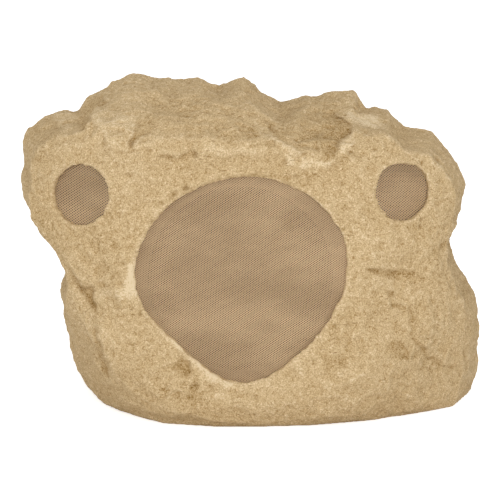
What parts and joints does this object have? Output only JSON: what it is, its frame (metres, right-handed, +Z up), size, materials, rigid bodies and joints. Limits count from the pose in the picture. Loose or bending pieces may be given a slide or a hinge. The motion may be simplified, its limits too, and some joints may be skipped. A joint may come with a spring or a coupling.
{
  "type": "rock shaped garden speaker",
  "caption": "Outdoor loudspeaker in a hollow cast rock: round tweeter grilles flank a large heart shaped woofer grille, with a base plate and a cable gland at the back.",
  "frame": {"origin": "on the ground, below the middle of the rock's bounding box", "axes": "+Z up, -Y out of the woofer grille, +X to the right of someone who faces the grille"},
  "size_m": [0.46, 0.37, 0.326],
  "materials": {
    "rock_resin": "matte",
    "grille_metal": "satin",
    "black_plastic": "matte",
    "seal_rubber": "matte",
    "screw_steel": "satin",
    "basket_steel": "satin",
    "motor_steel": "satin",
    "ferrite": "matte",
    "baffle_board": "matte",
    "cone_plastic": "satin",
    "cap_plastic": "gloss",
    "former_film": "satin",
    "copper_wire": "polished",
    "spider_cloth": "matte",
    "dome_cloth": "satin",
    "board_laminate": "satin",
    "capacitor_case": "gloss",
    "resistor_cement": "matte",
    "terminal_plastic": "satin",
    "lead_sheath": "matte"
  },
  "bodies": {
    "cabinet": {"baffle_screws": "screw_steel", "base_gasket": "seal_rubber", "base_plate": "black_plastic", "base_screws": "screw_steel", "crossover_board": "board_laminate", "crossover_screws": "screw_steel", "gland_body": "black_plastic", "gland_cap": "black_plastic", "gland_locknut": "black_plastic", "gland_seal": "seal_rubber", "input_terminal_block": "terminal_plastic", "left_tweeter_capacitor": "capacitor_case", "left_tweeter_faceplate": "black_plastic", "left_tweeter_gasket": "seal_rubber", "left_tweeter_grille": "grille_metal", "left_tweeter_lead": "lead_sheath", "left_tweeter_magnet": "ferrite", "left_tweeter_resistor": "resistor_cement", "left_tweeter_screws": "screw_steel", "left_tweeter_surround": "seal_rubber", "left_tweeter_terminal_board": "board_laminate", "left_tweeter_top_plate": "motor_steel", "left_tweeter_yoke": "motor_steel", "left_woofer_inductor": "copper_wire", "output_terminal_block": "terminal_plastic", "right_tweeter_capacitor": "capacitor_case", "right_tweeter_faceplate": "black_plastic", "right_tweeter_gasket": "seal_rubber", "right_tweeter_grille": "grille_metal", "right_tweeter_lead": "lead_sheath", "right_tweeter_magnet": "ferrite", "right_tweeter_resistor": "resistor_cement", "right_tweeter_screws": "screw_steel", "right_tweeter_surround": "seal_rubber", "right_tweeter_terminal_board": "board_laminate", "right_tweeter_top_plate": "motor_steel", "right_tweeter_yoke": "motor_steel", "right_woofer_inductor": "copper_wire", "rock_shell": "rock_resin", "woofer_baffle": "baffle_board", "woofer_basket": "basket_steel", "woofer_gasket": "seal_rubber", "woofer_grille": "grille_metal", "woofer_lead": "lead_sheath", "woofer_magnet": "ferrite", "woofer_screws": "screw_steel", "woofer_spider": "spider_cloth", "woofer_surround": "seal_rubber", "woofer_terminal_board": "board_laminate", "woofer_top_plate": "motor_steel", "woofer_yoke": "motor_steel"},
    "woofer_diaphragm": {"woofer_cone": "cone_plastic", "woofer_dust_cap": "cap_plastic", "woofer_coil_former": "former_film", "woofer_coil_winding": "copper_wire"},
    "left_tweeter_diaphragm": {"left_tweeter_dome": "dome_cloth", "left_tweeter_voice_coil": "copper_wire"},
    "right_tweeter_diaphragm": {"right_tweeter_dome": "dome_cloth", "right_tweeter_voice_coil": "copper_wire"}
  },
  "joints": [
    {"name": "woofer_excursion", "type": "slide", "parent": "cabinet", "child": "woofer_diaphragm", "axis": [0, -0.9903, 0.1392], "range_m": [-0.005, 0.005], "stiffness_N_per_m": 1500, "deforming": ["woofer_surround", "woofer_spider"]},
    {"name": "left_tweeter_excursion", "type": "slide", "parent": "cabinet", "child": "left_tweeter_diaphragm", "axis": [-0.4341, -0.89, 0.1392], "range_m": [-0.0003, 0.0003], "stiffness_N_per_m": 60, "deforming": ["left_tweeter_surround"]},
    {"name": "right_tweeter_excursion", "type": "slide", "parent": "cabinet", "child": "right_tweeter_diaphragm", "axis": [0.4028, -0.9047, 0.1392], "range_m": [-0.0003, 0.0003], "stiffness_N_per_m": 60, "deforming": ["right_tweeter_surround"]}
  ]
}
